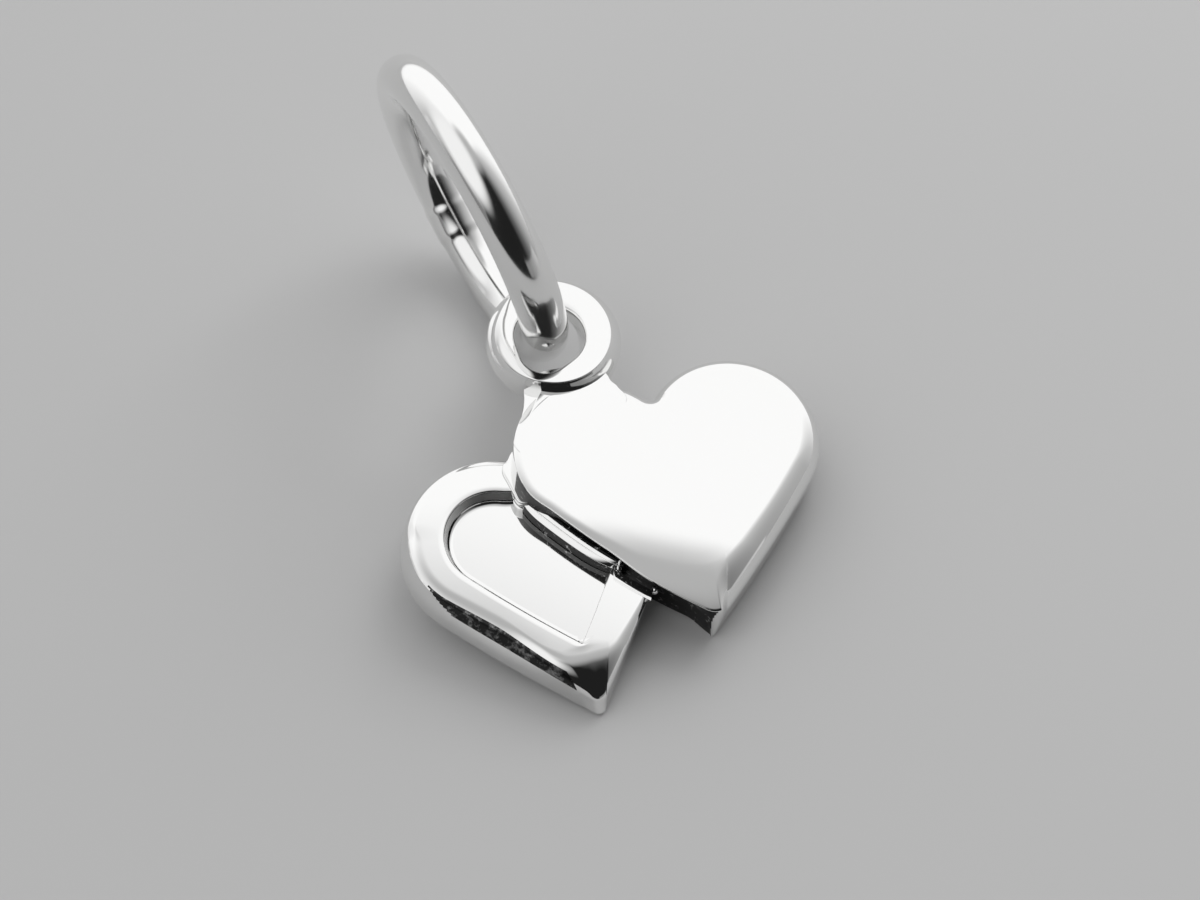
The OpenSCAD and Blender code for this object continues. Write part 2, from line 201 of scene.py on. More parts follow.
# The arris is crisp from the tip to the left lobe, and goes soft again on the lobe's last part
toCleft = (aroundCount - 2 - order) / (0.4 * steps["lobe"])
crisp = easeIn(start=-22, over=19) * smooth(toCleft - 0.25)
frontTip = aroundTip(full=1.15, reach=57)
# Under its lip the left wall is set back, from a little above the tip to the lobe
setBack = front["setBack"] * easeIn(start=18, over=9) * easeOut(end=89, over=20)
# The lip itself runs a little inside the arc along the ledge
lipIn = front["lipIn"] * easeIn(start=40, over=16) * easeOut(end=90, over=14)


def frontRings():
    top, height, arris = front["top"], front["shoulder"], front["arris"]
    side = mix(front["softWidth"], front["crispWidth"], crisp)
    width = mix(side, front["tipWidth"], frontTip)
    drop = front["fall"] * width * (1 - front["levelTip"] * frontTip)
    rings = []
    for inward, rise in roundUp(front["roundRows"]):
        outline = heartOutline(front, front["backRadius"] * inward + setBack, front["footRadius"])
        rings.append(atHeight(outline, front["backRadius"] * rise))
    lowZ, highZ = front["backRadius"], top - height + (height - drop - arris) * crisp
    for share, deep in front["wall"]:
        radius = mix(front["footRadius"], front["arrisRadius"], share)
        outline = heartOutline(front, setBack * deep + lipIn * share, radius)
        rings.append(atHeight(outline, mix(lowZ, highZ, share)))
    for share in np.linspace(0, 1, front["shoulderRows"]):
        angle = share * math.pi / 2
        ease = 1 - math.cos(angle)
        softZ = top - height * (1 - math.sin(angle))
        crispZ = top - drop * (1 - ease) ** 2
        if share < front["arrisShare"]:
            crispZ -= arris * (1 - math.sin(share / front["arrisShare"] * math.pi / 2))
        radius = mix(front["arrisRadius"], front["faceRadius"], ease)
        outline = heartOutline(front, lipIn + width * ease, radius)
        rings.append(atHeight(outline, mix(softZ, crispZ, crisp)))
    edge = heartOutline(front, lipIn + width + front["margin"], front["faceRadius"])
    for share in np.linspace(0, 1, front["faceRows"])[:-1]:
        rings.append(atHeight(mix(edge, front["centre"], share), top))
    return [bendDown(ring, front) for ring in rings]


# Lower heart: sloping wall, rounded shoulder, rim, and a sunk panel with a small fillet round it
lower = {
    "right": {"lobe": 2.28, "x": 1.0, "y": 0.0, "flank": 32.0},
    "tip": 4.73, "top": 1.02, "place": (-3.58, -1.29), "turn": 5.6, "rim": 1.05, "panel": 0.66,
    "backRadius": 0.18, "footRadius": 0.18, "wallRadius": 0.22, "topRadius": 0.8, "cornerRadius": 0.05,
    "wallInset": 0.1, "wallTop": 0.6, "shoulderTop": 1.012, "shoulderPower": 0.7,
    "flankWidth": 0.45, "lobeWidth": 0.25, "crispWidth": 0.05, "tipWidth": 0.6,
    "edgeShare": 0.5, "edgeOnFlank": 0.33, "edgeOnLobe": 0.2, "edgeRise": 0.365,
    "slopeWidth": 0.35, "slopeRise": 0.047, "rimFlat": (0.88, 1.019, 0.35),
    "rimEdge": 0.05, "draft": 0.08, "fillet": 0.1, "upright": 0.75, "margin": 0.05,
    "roundRows": 6, "shoulderRows": 18, "centreFromPlace": (0.1, -1),
    "bend": {"from": (-0.02, -3.35), "towards": (-0.1, -0.995), "amount": 0.22},
    # Rows and reach of the dark pitted band on the left wall: painted shade
    "pitsAndShade": {"rows": (8, 16), "start": (26, 0), "end": (77, 2)},
    "satin": {"rows": (30, 31), "start": (-tipIndex, 0), "end": (aroundCount, 0)},
}
lower["left"] = lower["right"]
lower["notch"] = lobeToNotch(lower["right"])
lowerTip = aroundTip(full=1.1, reach=30)
# The shoulder is soft on the first half of the right lobe and from the right flank on
softLobe = smooth((0.5 * steps["lobe"] - order) / (0.3 * steps["lobe"]))
lowerSoft = np.maximum(easeIn(start=-74, over=74), softLobe)
onLobe = easeIn(start=54, over=42)
# On the left the wall ends in a crisp edge under a gentle slope, from beyond the tip to the side of the lobe
edged = easeIn(start=28, over=30) * easeOut(end=122, over=10)
# On the right flank the panel's wall stands upright, with hardly a fillet
eased = 1 - lower["upright"] * easeIn(start=-88, over=12) * easeOut(end=-16, over=6)


def lowerProfile():
    soft = mix(mix(lower["flankWidth"], lower["lobeWidth"], onLobe), lower["tipWidth"], lowerTip)
    width = mix(lower["crispWidth"], soft, lowerSoft)
    tall = np.minimum(width / lower["flankWidth"], 1) ** lower["shoulderPower"]
    height = (lower["shoulderTop"] - lower["wallTop"]) * tall
    wall = lower["wallInset"] * lowerSoft
    edgeIn = mix(lower["edgeOnFlank"], lower["edgeOnLobe"], onLobe)
    back, half = lower["backRadius"], lower["edgeShare"]
    rows = lower["roundRows"]
    profile = [(back * inward, back * rise, lower["footRadius"]) for inward, rise in roundUp(rows)]
    for share in np.linspace(0, 1, lower["shoulderRows"]):
        angle = share * math.pi / 2
        ease = 1 - math.cos(angle)
        radius = mix(lower["wallRadius"], lower["topRadius"], ease)
        inset, z = wall + width * ease, lower["shoulderTop"] - height * (1 - math.sin(angle))
        rise = min(share / half, 1)
        slope = max(share - half, 0) / half
        crispInset = mix(lower["wallInset"], edgeIn, rise) + lower["slopeWidth"] * slope
        crispZ = lower["wallTop"] + lower["edgeRise"] * rise + lower["slopeRise"] * (1 - (1 - slope) ** 2)
        profile.append((mix(inset, crispInset, edged), mix(z, crispZ, edged), radius))
    profile.append(lower["rimFlat"])
    edge, corner, fillet = lower["rimEdge"], lower["cornerRadius"], lower["fillet"]
    for angle in np.linspace(0, math.pi / 2, rows):
        inset = lower["rim"] + edge * (math.sin(angle) - 1) * eased
        profile.append((inset, lower["top"] - edge + edge * math.cos(angle), corner))
    foot = lower["rim"] + lower["draft"] * eased
    for gone, left in quarter(rows):
        profile.append((foot + fillet * gone * eased, lower["panel"] + fillet * left, corner))
    profile.append((foot + fillet * eased + lower["margin"], lower["panel"], corner))
    return profile


def lowerRings():
    turn = math.radians(lower["turn"])
    spin = np.array([[math.cos(turn), -math.sin(turn)], [math.sin(turn), math.cos(turn)]])
    rings = []
    for inset, z, radius in lowerProfile():
        points = bendDown(atHeight(heartOutline(lower, inset, radius), z), lower)
        points[:, :2] = points[:, :2] @ spin.T + lower["place"]
        rings.append(points)
    return rings


# Silver: bright on the faces, satin on the panel's wall, and on the lower walls pitted (lower heart) and
# with its cast skin (front heart and ledge), both darkened there with painted shade
silver = {"colour": (0.87, 0.87, 0.865, 1), "grainScale": 900.0, "grainDetail": 2.0, "grainDepth": 0.00001}
# Dark specks, whose dark greys are painted shade: a noise, and the two places on it that are darkest and
# palest, each with its grey
skinSpecksAndShade = {
    "noise": {"Scale": 5200.0, "Detail": 3.0, "Distortion": 1.2},
    "greys": ((0.6, 0.02), (0.72, 0.5)),
}
# Pits for the lower heart's wall: their dark greys are painted shade, a dark reflection of the shadowed
# floor
pitSpecksAndShade = {
    "noise": {"Scale": 4200.0, "Detail": 4.0, "Roughness": 0.7},
    "greys": ((0.5, 0.035), (0.75, 0.45)),
}


def makeSilver(name, roughness, grain, specksAndShade=None):
    material = bpy.data.materials.new(name)
    material.use_nodes = True
    nodes, links = material.node_tree.nodes, material.node_tree.links
    shader = nodes["Principled BSDF"]
    shader.inputs["Base Color"].default_value = silver["colour"]
    shader.inputs["Metallic"].default_value = 1.0
    shader.inputs["Roughness"].default_value = roughness
    where = nodes.new("ShaderNodeTexCoord")
    noise = nodes.new("ShaderNodeTexNoise")
    noise.inputs["Scale"].default_value = silver["grainScale"]
    noise.inputs["Detail"].default_value = silver["grainDetail"]
    links.new(where.outputs["Object"], noise.inputs["Vector"])
    bump = nodes.new("ShaderNodeBump")
    bump.inputs["Strength"].default_value = grain
    bump.inputs["Distance"].default_value = silver["grainDepth"]
    links.new(noise.outputs["Fac"], bump.inputs["Height"])
    links.new(bump.outputs["Normal"], shader.inputs["Normal"])
    # Specks replace the base colour with their greys; the dark greys are painted shade
    if specksAndShade is not None:
        spots = nodes.new("ShaderNodeTexNoise")
        for socket, value in specksAndShade["noise"].items():
            spots.inputs[socket].default_value = value
        links.new(where.outputs["Object"], spots.inputs["Vector"])
        pick = nodes.new("ShaderNodeValToRGB")
        for element, (position, grey) in zip(pick.color_ramp.elements, specksAndShade["greys"]):
            element.position = position
            element.color = (grey, grey, grey, 1)
        links.new(spots.outputs["Fac"], pick.inputs["Fac"])
        links.new(pick.outputs["Color"], shader.inputs["Base Color"])
    return material


heartSilver = makeSilver("heart_silver", roughness=0.04, grain=0.05)
wireSilver = makeSilver("wire_silver", roughness=0.12, grain=0.1)
satinSilver = makeSilver("satin_silver", roughness=0.38, grain=0.1)
# These two materials are darkened with painted shade; their specks and pits are the metal's own texture
castSkinAndShade = makeSilver("cast_skin_and_shade", roughness=0.42, grain=0.3, specksAndShade=skinSpecksAndShade)
pittedSilverAndShade = makeSilver("pitted_silver_and_shade", roughness=0.3, grain=0.3, specksAndShade=pitSpecksAndShade)
silvers = [heartSilver, castSkinAndShade, pittedSilverAndShade, satinSilver]


# A patch covers some rows of faces, from one point past the tip to another. Both are given as the place
# on the lowest row and the change from row to row.
def paintRows(plate, material, patch):
    (first, last), start, end = patch["rows"], patch["start"], patch["end"]
    for face in plate.data.polygons[first * aroundCount:last * aroundCount]:
        row, along = face.index // aroundCount - first, face.index % aroundCount - tipIndex
        if start[0] + start[1] * row <= along < end[0] + end[1] * row:
            face.material_index = silvers.index(material)


frontPlate = loft("front_plate", frontRings(), front["centre"])
# The front heart's left wall, low down from near the tip to the lobe, gets the dark cast skin: its specks
# are cast texture, its darkness painted shade
paintRows(frontPlate, castSkinAndShade, front["skinAndShade"])
lowerPlate = loft("lower_plate", lowerRings(), np.array(lower["place"]) + lower["centreFromPlace"])
# The lower heart's left wall gets a dark pitted band: the pits are texture, the darkness is painted shade, a
# dark reflection of the shadowed floor
paintRows(lowerPlate, pittedSilverAndShade, lower["pitsAndShade"])
paintRows(lowerPlate, satinSilver, lower["satin"])
print("hearts")

# Eyelet: a sloping wall under a flat top that is sharp at the right, and a slanting hole for the ring.
# Each end of the hole is a circle slid between two places, given as x, y and radius.
eyelet = {
    "topPlace": (-2.044, 3.38), "topRadius": 1.476, "wallPlace": (-1.93, 3.43), "wallRadius": 1.67,
    "top": 1.93, "wallTop": 1.45, "bottom": 0.98, "backEdge": 0.15, "wallPower": 1.6, "around": 216,
    "sharpEdge": 0.03, "softEdge": 0.36, "softHeading": 172, "softReach": 72, "softFade": 50,
    "holeTop": ((-2.12, 3.28, 0.88), (-2.36, 2.88, 0.62)),
    "holeTopCentre": (-2.2, 3.15), "holeTopEdge": 0.06,
    "holeBack": ((-2.12, 3.66, 0.88), (-2.14, 3.5, 0.88)),
    "holeBackCentre": (-2.13, 3.58), "holeBackEdge": 0.1,
}


# How far the slid circle reaches from the centre, at each angle
def slotRadius(ends, centre, angle):
    ahead = np.stack([np.cos(angle), np.sin(angle)], -1)
    reach = np.zeros(len(angle))
    for share in np.linspace(0, 1, 60):
        x, y, radius = (mix(a, b, share) for a, b in zip(*ends))
        offset = np.array([x - centre[0], y - centre[1]])
        along = ahead @ offset
        off = ahead[:, 0] * offset[1] - ahead[:, 1] * offset[0]
        reach = np.maximum(reach, along + np.sqrt(np.maximum(radius ** 2 - off ** 2, 0)))
    return reach


def makeEyelet():
    angle = np.linspace(0, 2 * math.pi, eyelet["around"], endpoint=False)
    fromSoft = np.abs(angle - math.radians(eyelet["softHeading"]))
    soft = smooth((math.radians(eyelet["softReach"]) - fromSoft) / math.radians(eyelet["softFade"]))
    edge = mix(eyelet["sharpEdge"], eyelet["softEdge"], soft)
    wall = polar(eyelet["wallPlace"], eyelet["wallRadius"], angle)
    top = polar(eyelet["topPlace"], eyelet["topRadius"], angle)
    inTop = polar(eyelet["topPlace"], eyelet["topRadius"] - edge, angle)
    rings = []
    for gone, left in quarter(6):
        outline = polar(eyelet["wallPlace"], eyelet["wallRadius"] - eyelet["backEdge"] * left, angle)
        rings.append(atHeight(outline, eyelet["bottom"] + eyelet["backEdge"] * gone))
    for share in np.linspace(0, 1, 8):
        outline = mix(wall, top, share ** eyelet["wallPower"])
        rings.append(atHeight(outline, mix(eyelet["wallTop"], eyelet["top"] - edge, share)))
    for gone, left in quarter(8)[1:]:
        rings.append(atHeight(mix(top, inTop, gone), eyelet["top"] - edge * left))
    hole = slotRadius(eyelet["holeTop"], eyelet["holeTopCentre"], angle)
    for gone, left in quarter(6):
        outline = polar(eyelet["holeTopCentre"], hole + eyelet["holeTopEdge"] * left, angle)
        rings.append(atHeight(outline, eyelet["top"] - eyelet["holeTopEdge"] * gone))
    hole = slotRadius(eyelet["holeBack"], eyelet["holeBackCentre"], angle)
    for gone, left in quarter(6):
        outline = polar(eyelet["holeBackCentre"], hole + eyelet["holeBackEdge"] * gone, angle)
        rings.append(atHeight(outline, eyelet["bottom"] + eyelet["holeBackEdge"] * left))
    return newObject("eyelet_band", np.vstack(rings), ringFaces(len(rings), len(angle), closedRows=True))


eyeletBand = makeEyelet()
print("eyelet")


# A plate with rounded edges, drawn as a smooth curve through its corners
def plateFrom(name, plate):
    corners = np.array(plate["corners"])
    closed = np.vstack([corners[-1], corners, corners[:2]])
    outline = []
    for p0, p1, p2, p3 in zip(closed, closed[1:], closed[2:], closed[3:]):
        for t in np.linspace(0, 1, plate["perCorner"], endpoint=False):
            linear = (p2 - p0) * t
            square = (2 * p0 - 5 * p1 + 4 * p2 - p3) * t * t
            cubic = (3 * p1 - p0 - 3 * p2 + p3) * t ** 3
            outline.append(0.5 * (2 * p1 + linear + square + cubic))
    outline = np.array(outline)
    ahead = np.roll(outline, -1, 0) - np.roll(outline, 1, 0)
    inward = np.stack([ahead[:, 1], -ahead[:, 0]], 1)
    inward /= np.linalg.norm(inward, axis=1)[:, None]
    low, high, lowEdge, highEdge = (plate[key] for key in ("low", "high", "lowEdge", "highEdge"))
    rings = []
    for gone, rise in roundUp(5):
        rings.append(atHeight(outline + inward * lowEdge * gone, low + lowEdge * rise))
    for gone, left in quarter(7):
        rings.append(atHeight(outline + inward * highEdge * gone, high - highEdge * left))
    rings.append(atHeight(outline + inward * (highEdge + plate["margin"]), high))
    return loft(name, rings, outline.mean(0))


# Neck: the face runs on under the eyelet, with a soft corner on each side and a slope along its left
neck = {
    "low": 0.72, "high": 1.629, "lowEdge": 0.1, "highEdge": 0.03, "margin": 0.03, "perCorner": 10,
    "slope": {"from": (-3.62, 0.71), "to": (-2.96, 1.57), "height": 1.625, "degrees": 22},
    "corners": [
        (-2.1, 2.5), (-1.5, 2.5), (-1.14, 2.36), (-0.96, 2.1), (-0.9, 1.88), (-0.78, 1.68), (-0.7, 1.2),
        (-1.6, 0.5), (-2.8, 0.1), (-3.4, 0.2), (-3.68, 0.62), (-3.43, 1.14), (-3.22, 1.53), (-3.1, 1.85),
        (-2.98, 2.25), (-2.6, 2.5),
    ],
}
neckPlate = plateFrom("neck_plate", neck)

# Web where the two hearts meet, left of the front heart
web = {
    "low": 0.2, "high": 1.07, "lowEdge": 0.1, "highEdge": 0.05, "margin": 0.03, "perCorner": 15,
    "corners": [
        (-3.15, 0.75), (-2.95, 0.2), (-3.05, -0.4), (-3.45, -0.72), (-3.82, -0.62), (-3.92, -0.3),
        (-3.98, -0.02), (-4.03, 0.24), (-3.97, 0.45), (-3.83, 0.57), (-3.68, 0.76), (-3.45, 0.92),
    ],
}
webPlate = plateFrom("web_plate", web)


# A band follows the front heart's left wall between two heights on the plan. Its profile is how far out
# from the wall and how high, its ends taper back into the wall, and faces outside "bright" get the dark
# cast skin as painted shade.
def wallBand(name, band):
    nudge, leftOf, buried, blunt = 0.1, -0.6, -0.2, 0.02
    line, inner, outer = (heartOutline(front, inset, front["footRadius"]) for inset in (0.0, nudge, -nudge))
    chosen = (line[:, 0] < leftOf) & (line[:, 1] < band["from"]) & (line[:, 1] > band["to"])
    line, away = line[chosen], (outer - inner)[chosen]
    away /= np.linalg.norm(away, axis=1)[:, None]
    length = np.concatenate([[0], np.cumsum(np.linalg.norm(np.diff(line, axis=0), axis=1))])
    grow = np.minimum(length / band["taper"][0], (length[-1] - length) / band["taper"][1])
    grow = np.sqrt(1 - (1 - np.clip(grow, blunt, 1)) ** 2)
    rows = []
    for out, z in band["profile"]:
        reach = mix(buried, out, grow) if out > buried else np.full(len(line), out)
        sink = band["dip"] * (1 - grow) * max(out - buried, 0)
        rows.append(np.column_stack([line + away * reach[:, None], z - sink]))
    count = len(rows)
    faces = ringFaces(len(line), count)
    faces += [tuple(range(count)), tuple((len(line) - 1) * count + i for i in reversed(range(count)))]
    thing = newObject(name, np.stack(rows, 1).reshape(-1, 3), faces)
    first, last = band.get("bright", (0, count))
    # Faces outside "bright" get the dark cast skin: painted shade
    for face in thing.data.polygons[:-2]:
        if not first <= face.index % count < last:
            face.material_index = silvers.index(castSkinAndShade)
    return thing


# Ledge along the wall inside the sunk panel: two bright strips with a fine groove between; its faces under
# the lip and down to the panel are dark cast skin, painted shade
ledge = wallBand("ledge", {
    "from": -0.4, "to": -2.97, "taper": (1.2, 0.3), "dip": 0.3, "bright": (3, 9),
    "profile": [
        (-0.45, 0.7), (-0.45, 1.1), (-0.2, 1.13), (-0.13, 1.106), (-0.06, 1.066), (-0.054, 1.045),
        (-0.042, 1.039), (-0.034, 1.049), (0.068, 0.989), (0.078, 0.976), (0.082, 0.95), (0.088, 0.8),
        (0.1, 0.7), (-0.1, 0.62),
    ],
})
# Strip on the rim beside the front heart, and the narrow gap between it and the wall
strip = wallBand("rim_strip", {
    "from": -2.72, "to": -3.62, "taper": (0.05, 0.05), "dip": 0.0,
    "profile": [
        (-0.02, 0.75), (-0.005, 1.02), (0.008, 1.036), (0.03, 1.04), (0.25, 1.034), (0.275, 1.02),
        (0.28, 0.9), (0.2, 0.75),
    ],
})
gap = wallBand("wall_gap", {
    "from": -2.84, "to": -3.95, "taper": (0.02, 0.02), "dip": 0.0,
    "profile": [(-0.4, 0.5), (-0.4, 1.3), (-0.01, 1.3), (-0.01, 0.5)],
})


def bead(name, place, size):
    kit = bmesh.new()
    bmesh.ops.create_icosphere(kit, subdivisions=3, radius=1.0)
    bmesh.ops.scale(kit, vec=size, verts=kit.verts)
    bmesh.ops.translate(kit, vec=place, verts=kit.verts)
    mesh = bpy.data.meshes.new(name)
    kit.to_mesh(mesh)
    kit.free()
    thing = bpy.data.objects.new(name, mesh)
    scene.collection.objects.link(thing)
    return thing


# Two small beads of metal left by the casting, one at the end of the ledge and one at the rim's corner
ledgeBead = bead("ledge_bead", place=(-1.9, -2.72, 1.15), size=(0.05, 0.05, 0.13))
rimBead = bead("rim_bead", place=(-1.24, -3.5, 0.93), size=(0.1, 0.1, 0.12))
print("neck, web, ledge and beads")


def cutSlope(thing, slope, slot):
    (fromX, fromY), (toX, toY) = slope["from"], slope["to"]
    along = Vector((toX - fromX, toY - fromY, 0)).normalized()
    outward = Vector((-along.y, along.x, 0))
    steepness = math.radians(slope["degrees"])
    upward = outward * math.sin(steepness) + Vector((0, 0, math.cos(steepness)))
    kit = bmesh.new()
    kit.from_mesh(thing.data)
    parts = kit.verts[:] + kit.edges[:] + kit.faces[:]
    place = (fromX, fromY, slope["height"])
    cut = bmesh.ops.bisect_plane(
        kit, geom=parts, dist=1e-6, plane_co=place, plane_no=upward, clear_outer=True)
    edges = [item for item in cut["geom_cut"] if isinstance(item, bmesh.types.BMEdge)]
    for face in bmesh.ops.holes_fill(kit, edges=edges)["faces"]:
        face.material_index = slot
    kit.to_mesh(thing.data)
    kit.free()


def joinSolids(base, others, operation="UNION"):
    for other in others:
        join = base.modifiers.new("join", "BOOLEAN")
        join.operation, join.solver, join.object = operation, "EXACT", other
        depsgraph = bpy.context.evaluated_depsgraph_get()
        joined = bpy.data.meshes.new_from_object(base.evaluated_get(depsgraph))
        base.modifiers.clear()
        base.data = joined
        bpy.data.objects.remove(other)
    return base


def faceOut(thing):
    kit = bmesh.new()
    kit.from_mesh(thing.data)
    bmesh.ops.recalc_face_normals(kit, faces=kit.faces)
    if kit.calc_volume(signed=True) < 0:
        bmesh.ops.reverse_faces(kit, faces=kit.faces)
    kit.to_mesh(thing.data)
    kit.free()


# Each solid has a set of slots of its own, and the slope's cut one more, so that the joints are found again
solids = [frontPlate, neckPlate, webPlate, ledge, strip, ledgeBead, rimBead, lowerPlate, eyeletBand, gap]
for number, thing in enumerate(solids):
    faceOut(thing)
    for material in silvers * (len(solids) + 1):
        thing.data.materials.append(material)
    for face in thing.data.polygons:
        face.material_index += number * len(silvers)
cutSlope(neckPlate, neck["slope"], len(silvers) * len(solids))
joinSolids(lowerPlate, [gap], "DIFFERENCE")
hearts = joinSolids(frontPlate, solids[1:-1])
hearts.name = "heart_body"
hearts.data.name = "heart_body"


def shadeBySharp(thing, degrees, jointDegrees):
    kit = bmesh.new()
    kit.from_mesh(thing.data)
    bmesh.ops.remove_doubles(kit, verts=kit.verts, dist=0.0005)
    for face in kit.faces:
        face.smooth = True
    for edge in kit.edges:
        if edge.is_manifold:
            a, b = (face.material_index // len(silvers) for face in edge.link_faces)
            limit = degrees if a == b else jointDegrees
            edge.smooth = edge.calc_face_angle() <= math.radians(limit)
    for face in kit.faces:
        face.material_index %= len(silvers)
    kit.to_mesh(thing.data)
    kit.free()
    while len(thing.data.materials) > len(silvers):
        thing.data.materials.pop(index=len(silvers))


shadeBySharp(hearts, degrees=28, jointDegrees=2)

# The body leans over the tips of both hearts. It is a trace small, so that its true arcs stay inside the
# solid's faceted ones.
pose = {"lean": 7.9, "lift": 0.564, "shift": (1.451, -2.3215), "trace": 0.9993}
tipHeading = math.radians(lower["turn"] - 90)
tipX = lower["place"][0] + lower["tip"] * math.cos(tipHeading)
tipY = lower["place"][1] + lower["tip"] * math.sin(tipHeading)
lean = Matrix.Rotation(math.radians(pose["lean"]), 4, Vector((-tipX, -front["tip"] - tipY, 0)))
layDown = Matrix.Translation((*pose["shift"], pose["lift"])) @ lean
hearts.data.transform(Matrix.Scale(mm, 4) @ layDown @ Matrix.Scale(pose["trace"], 4))
print("one body", len(hearts.data.polygons))

# Jump ring: a wire swept round a circle by Geometry Nodes, with the solder swelling at its seam
ring = {
    "radius": 3.63, "wire": 0.588, "place": (-3.09, 6.42), "heading": 13.6, "rise": 9.5, "around": 360,
    "across": 56, "seamAt": 38.0, "seamLength": 0.62, "seamHeight": 0.035, "seamSteep": 0.45,
}


def ringTree():
    tree = bpy.data.node_groups.new("wire_ring", "GeometryNodeTree")
    newSocket = tree.interface.new_socket
    newSocket("Geometry", in_out="INPUT", socket_type="NodeSocketGeometry")
    sockets = {}
    for name in ("Ring radius", "Wire radius", "Seam share", "Seam half width", "Seam height"):
        sockets[name] = newSocket(name, in_out="INPUT", socket_type="NodeSocketFloat").identifier
    sockets["Material"] = newSocket("Material", in_out="INPUT", socket_type="NodeSocketMaterial").identifier
    newSocket("Geometry", in_out="OUTPUT", socket_type="NodeSocketGeometry")
    nodes, links = tree.nodes, tree.links
    group = nodes.new("NodeGroupInput")
    result = nodes.new("NodeGroupOutput")
    circle = nodes.new("GeometryNodeCurvePrimitiveCircle")
    circle.inputs["Resolution"].default_value = ring["around"]
    links.new(group.outputs["Ring radius"], circle.inputs["Radius"])
    profile = nodes.new("GeometryNodeCurvePrimitiveCircle")
    profile.inputs["Resolution"].default_value = ring["across"]
    links.new(group.outputs["Wire radius"], profile.inputs["Radius"])
    along = nodes.new("GeometryNodeSplineParameter")

    def maths(operation, a, b):
        node = nodes.new("ShaderNodeMath")
        node.operation = operation
        for socket, value in zip(node.inputs, (a, b)):
            if isinstance(value, (int, float)):
                socket.default_value = value
            elif value is not None:
                links.new(value, socket)
        return node.outputs[0]

    away = maths("ABSOLUTE", maths("SUBTRACT", along.outputs["Factor"], group.outputs["Seam share"]), None)
    near = maths("SUBTRACT", 1.0, maths("DIVIDE", away, group.outputs["Seam half width"]))
    steep = nodes.new("ShaderNodeMapRange")
    steep.interpolation_type = "SMOOTHSTEP"
    steep.inputs["From Max"].default_value = ring["seamSteep"]
    links.new(near, steep.inputs["Value"])
    swell = maths("MULTIPLY", steep.outputs["Result"], group.outputs["Seam height"])
    scale = maths("ADD", 1.0, maths("DIVIDE", swell, group.outputs["Wire radius"]))
    sweep = nodes.new("GeometryNodeCurveToMesh")
    links.new(circle.outputs["Curve"], sweep.inputs["Curve"])
    links.new(profile.outputs["Curve"], sweep.inputs["Profile Curve"])
    links.new(scale, sweep.inputs["Scale"])
    smoothed = nodes.new("GeometryNodeSetShadeSmooth")
    links.new(sweep.outputs["Mesh"], smoothed.inputs["Geometry"])
    real = nodes.new("GeometryNodeRealizeInstances")
    links.new(smoothed.outputs["Geometry"], real.inputs["Geometry"])
    paint = nodes.new("GeometryNodeSetMaterial")
    links.new(real.outputs["Geometry"], paint.inputs["Geometry"])
    links.new(group.outputs["Material"], paint.inputs["Material"])
    links.new(paint.outputs["Geometry"], result.inputs["Geometry"])
    return tree, sockets


ringSeed = newObject("ring_seed", [(0, 0, 0)], [])
tree, sockets = ringTree()
build = ringSeed.modifiers.new("ring", "NODES")
build.node_group = tree
build[sockets["Ring radius"]] = ring["radius"]
build[sockets["Wire radius"]] = ring["wire"]
build[sockets["Seam share"]] = ring["seamAt"] / 360
build[sockets["Seam half width"]] = ring["seamLength"] / (2 * math.pi * ring["radius"])
build[sockets["Seam height"]] = ring["seamHeight"]
build[sockets["Material"]] = wireSilver
bpy.context.view_layer.update()
ringMesh = bpy.data.meshes.new_from_object(ringSeed.evaluated_get(bpy.context.evaluated_depsgraph_get()))
ringWire = bpy.data.objects.new("ring_wire", ringMesh)
scene.collection.objects.link(ringWire)
bpy.data.objects.remove(ringSeed)
rise, heading = math.radians(ring["rise"]), math.radians(ring["heading"])
ringX, ringY = (shift + place for shift, place in zip(pose["shift"], ring["place"]))
ringZ = ring["radius"] * math.cos(rise) + ring["wire"]
ringTilt = Matrix.Rotation(heading, 4, "Z") @ Matrix.Rotation(math.pi / 2 - rise, 4, "Y")
ringWire.data.transform(Matrix.Scale(mm, 4) @ Matrix.Translation((ringX, ringY, ringZ)) @ ringTilt)
print("ring")

for piece, node in ((hearts, "double_heart"), (ringWire, "jump_ring")):
    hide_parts(node)
    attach(piece, "root")

# Pale table: it ends a little in front of the pendant, where the studio is dark
table = {"side": 0.5, "front": 0.04, "grey": 0.56, "roughness": 0.9}
side, edge = table["side"], -table["front"]
corners = [(-side, edge, 0), (side, edge, 0), (side, side, 0), (-side, side, 0)]
floor = newObject("pale_floor", corners, [(0, 1, 2, 3)])
floorPaint = bpy.data.materials.new("pale_floor")
floorPaint.use_nodes = True
floorShader = floorPaint.node_tree.nodes["Principled BSDF"]
floorShader.inputs["Base Color"].default_value = (table["grey"], table["grey"], table["grey"], 1)
floorShader.inputs["Roughness"].default_value = table["roughness"]
floor.data.materials.append(floorPaint)

# Camera at the photograph's angle: degrees, and millimetres for the target and the distance
view = {
    "heading": 16.241, "down": 55.236, "roll": 0.861, "lens": 63.77, "sensor": 36, "clip": 0.001,
    "target": (0.1917, -1.3337, 0.5805), "distance": 53.14,
}
down, head, roll = (math.radians(view[key]) for key in ("down", "heading", "roll"))
forward = Vector((math.sin(head) * math.cos(down), math.cos(head) * math.cos(down), -math.sin(down)))
level = Vector((math.cos(head), -math.sin(head), 0))
upright = level.cross(forward)
across = math.cos(roll) * level + math.sin(roll) * upright
upward = -math.sin(roll) * level + math.cos(roll) * upright
cameraData = bpy.data.cameras.new("camera")
cameraData.lens, cameraData.sensor_width, cameraData.clip_start = view["lens"], view["sensor"], view["clip"]
camera = bpy.data.objects.new("camera", cameraData)
cameraTurn = Matrix((across, upward, -forward)).transposed().to_4x4()
